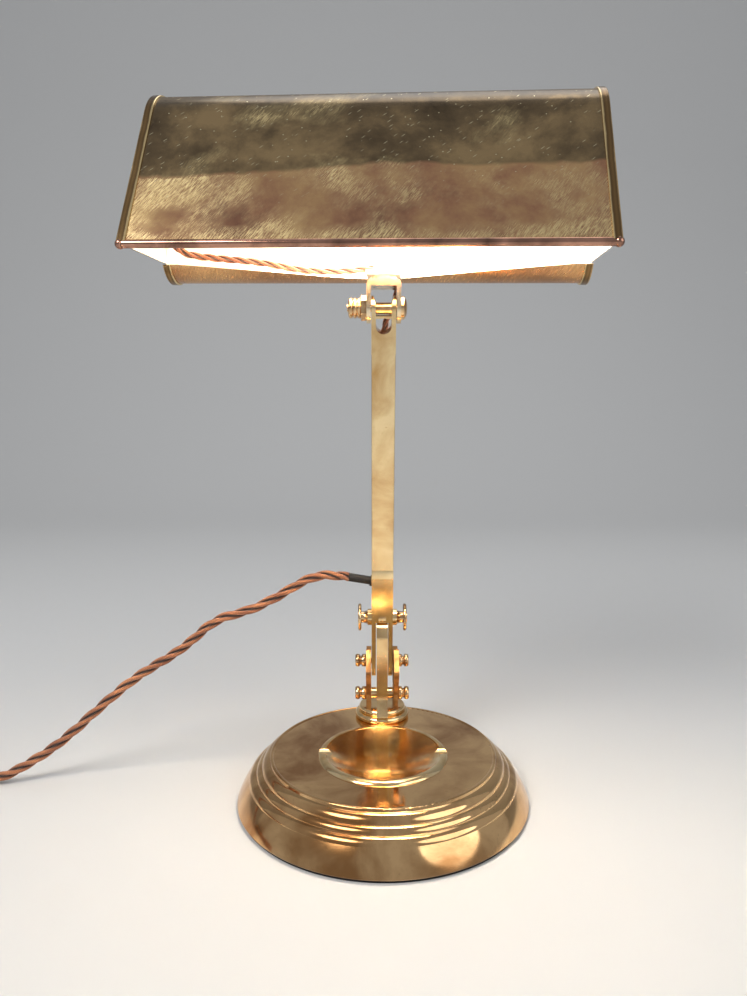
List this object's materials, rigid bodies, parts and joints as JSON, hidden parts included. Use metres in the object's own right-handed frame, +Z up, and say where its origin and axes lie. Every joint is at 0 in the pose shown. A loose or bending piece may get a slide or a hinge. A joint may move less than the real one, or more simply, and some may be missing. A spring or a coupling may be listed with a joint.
{
  "type": "bankers desk lamp",
  "caption": "Antique brass desk lamp: round stepped base with a tray, hinged square stem with an arc-slot bracket, and a long folded metal shade that tilts and swivels.",
  "frame": {"origin": "centre of the base's underside, where the felt meets the desk", "axes": "+Z up, +X to the right, and -Y towards the user in front of the lamp"},
  "size_m": [0.4878, 0.165, 0.3839],
  "materials": {
    "brass_polished": "polished, old, with warm brown reflections",
    "brass_satin": "satin, old, dulled lacquer",
    "copper_brass": "polished reddish brass",
    "shade_metal": "dark olive brown lacquer on brass, white enamel inside",
    "cast_iron": "as cast",
    "steel": "dull zinc plate",
    "felt": "dark felt",
    "black_rubber": "matte",
    "brown_fabric": "braided cotton",
    "porcelain": "glazed",
    "brown_plastic": "moulded, gloss",
    "clear_glass": "clear",
    "filament": "lit filaments on a glass stem"
  },
  "bodies": {
    "base": {"base_shell": "brass_polished", "base_weight": "cast_iron", "base_cover": "steel", "base_felt": "felt", "cover_screws": "steel", "tray": "brass_polished", "tray_nut": "steel", "foot_casting": "brass_satin", "foot_stud": "steel", "foot_nut": "steel", "cheek_plate_left": "brass_satin", "cheek_plate_right": "brass_satin", "cheek_bolt": "brass_satin", "cheek_spacers": "brass_satin", "cheek_nuts": "brass_satin", "mains_cord": "brown_fabric", "cord_coil": "brown_fabric", "plug_relief": "brown_plastic", "plug_cover": "brown_plastic", "plug_base": "brown_plastic", "plug_pins": "brass_polished"},
    "stem": {"stem_fork": "brass_satin", "stem_tube": "brass_satin", "stem_head": "brass_satin", "elbow_bolt": "brass_satin", "slot_studs": "brass_satin", "cord_bush": "black_rubber", "cord_sleeve": "black_rubber", "stem_lead": "brown_fabric", "tilt_spacer": "brass_satin"},
    "stirrup": {"stirrup": "brass_satin", "tilt_bolt": "brass_satin", "tilt_nut": "brass_satin", "swivel_screw": "brass_satin", "swivel_washer": "brass_satin", "swivel_nut": "brass_satin", "tilt_lead": "brown_fabric"},
    "shade": {"shade_shell": "shade_metal", "end_plates": "shade_metal", "end_wraps": "copper_brass", "front_rod": "copper_brass", "shade_bridge": "steel", "bridge_screws": "steel", "holder_bracket": "steel", "bracket_rivets": "steel", "holder_entry": "brass_polished", "holder_cap": "brass_polished", "holder_body": "brass_polished", "holder_ring": "brass_polished", "holder_insert": "porcelain", "contact_plungers": "brass_polished", "bulb_cap": "brass_polished", "bulb_glass": "clear_glass", "bulb_filament": "filament", "holder_lead": "brown_fabric"},
    "elbow_nut": {"elbow_thumb_nut": "brass_satin"},
    "left_slot_nut": {"slot_nut_left": "brass_satin"},
    "right_slot_nut": {"slot_nut_right": "brass_satin"},
    "tilt_nut_knob": {"tilt_thumb_nut": "brass_satin"},
    "switch": {"switch_bar": "brown_plastic"}
  },
  "joints": [
    {"name": "stem_tilt", "type": "hinge", "parent": "base", "child": "stem", "pos_m": [0, 0.0495, 0.0908], "axis": [1, 0, 0], "range_deg": [-47, 1], "deforming": ["mains_cord"]},
    {"name": "shade_tilt", "type": "hinge", "parent": "stem", "child": "stirrup", "pos_m": [0, 0.00045, 0.27384], "axis": [1, 0, 0], "range_deg": [-45, 60], "deforming": ["tilt_lead"]},
    {"name": "shade_swivel", "type": "hinge", "parent": "stirrup", "child": "shade", "pos_m": [0, 0.00045, 0.29149], "axis": [0.0111, -0.0009, 0.9999], "range_deg": [-60, 60], "deforming": ["tilt_lead"]},
    {"name": "elbow_nut_turn", "type": "hinge", "parent": "stem", "child": "elbow_nut", "pos_m": [0, 0.0495, 0.0908], "axis": [1, 0, 0], "continuous": true},
    {"name": "left_slot_nut_turn", "type": "hinge", "parent": "stem", "child": "left_slot_nut", "pos_m": [0, 0.05778, 0.05989], "axis": [1, 0, 0], "continuous": true},
    {"name": "right_slot_nut_turn", "type": "hinge", "parent": "stem", "child": "right_slot_nut", "pos_m": [0, 0.05778, 0.05989], "axis": [1, 0, 0], "continuous": true},
    {"name": "tilt_nut_turn", "type": "hinge", "parent": "stirrup", "child": "tilt_nut_knob", "pos_m": [0, 0.00045, 0.27384], "axis": [1, 0, 0], "continuous": true},
    {"name": "switch_push", "type": "slide", "parent": "shade", "child": "switch", "axis": [0.0111, -0.0009, 0.9999], "range_m": [0, 0.004]}
  ]
}
